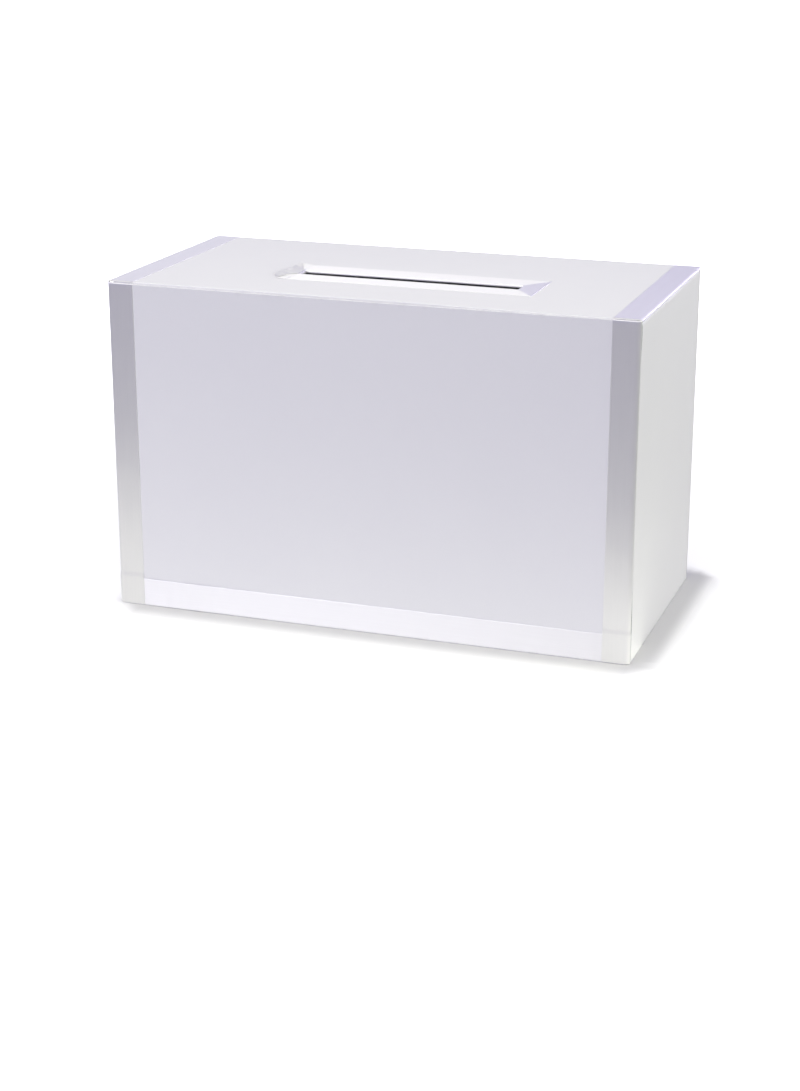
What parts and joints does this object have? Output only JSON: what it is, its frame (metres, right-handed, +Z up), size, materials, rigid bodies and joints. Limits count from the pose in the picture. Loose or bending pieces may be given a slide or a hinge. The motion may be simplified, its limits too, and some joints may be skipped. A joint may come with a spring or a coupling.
{
  "type": "wedding card box",
  "caption": "Free-standing white board card box with a hinged tuck-in lid, a framed card slot and satin ribbon along its edges.",
  "frame": {"origin": "on the floor, under the middle of the box", "axes": "+X to the right along the front, +Y from the front to the back, +Z up"},
  "size_m": [0.3056, 0.153, 0.1908],
  "materials": {
    "white_board": "smooth white face, faint sheen",
    "satin_ribbon": "single-face satin"
  },
  "bodies": {
    "box": {"base_panel": "white_board", "front_panel": "white_board", "back_panel": "white_board", "left_outer": "white_board", "right_outer": "white_board", "left_rim": "white_board", "right_rim": "white_board", "left_inner": "white_board", "right_inner": "white_board", "front_left_flap": "white_board", "front_right_flap": "white_board", "back_left_flap": "white_board", "back_right_flap": "white_board", "floor_ribbon": "satin_ribbon", "front_left_ribbon": "satin_ribbon", "front_right_ribbon": "satin_ribbon"},
    "lid": {"lid_panel": "white_board", "lid_left_ribbon": "satin_ribbon", "lid_right_ribbon": "satin_ribbon", "slot_front_ribbon": "satin_ribbon", "slot_rear_ribbon": "satin_ribbon", "slot_left_ribbon": "satin_ribbon", "slot_right_ribbon": "satin_ribbon"},
    "tuck": {"tuck_flap": "white_board"}
  },
  "joints": [
    {"name": "lid_hinge", "type": "hinge", "parent": "box", "child": "lid", "pos_m": [0, 0.0756, 0.1899], "axis": [-1, 0, 0], "range_deg": [0, 135]},
    {"name": "tuck_crease", "type": "hinge", "parent": "lid", "child": "tuck", "pos_m": [0, -0.0741, 0.1899], "axis": [1, 0, 0], "range_deg": [0, 45]}
  ]
}
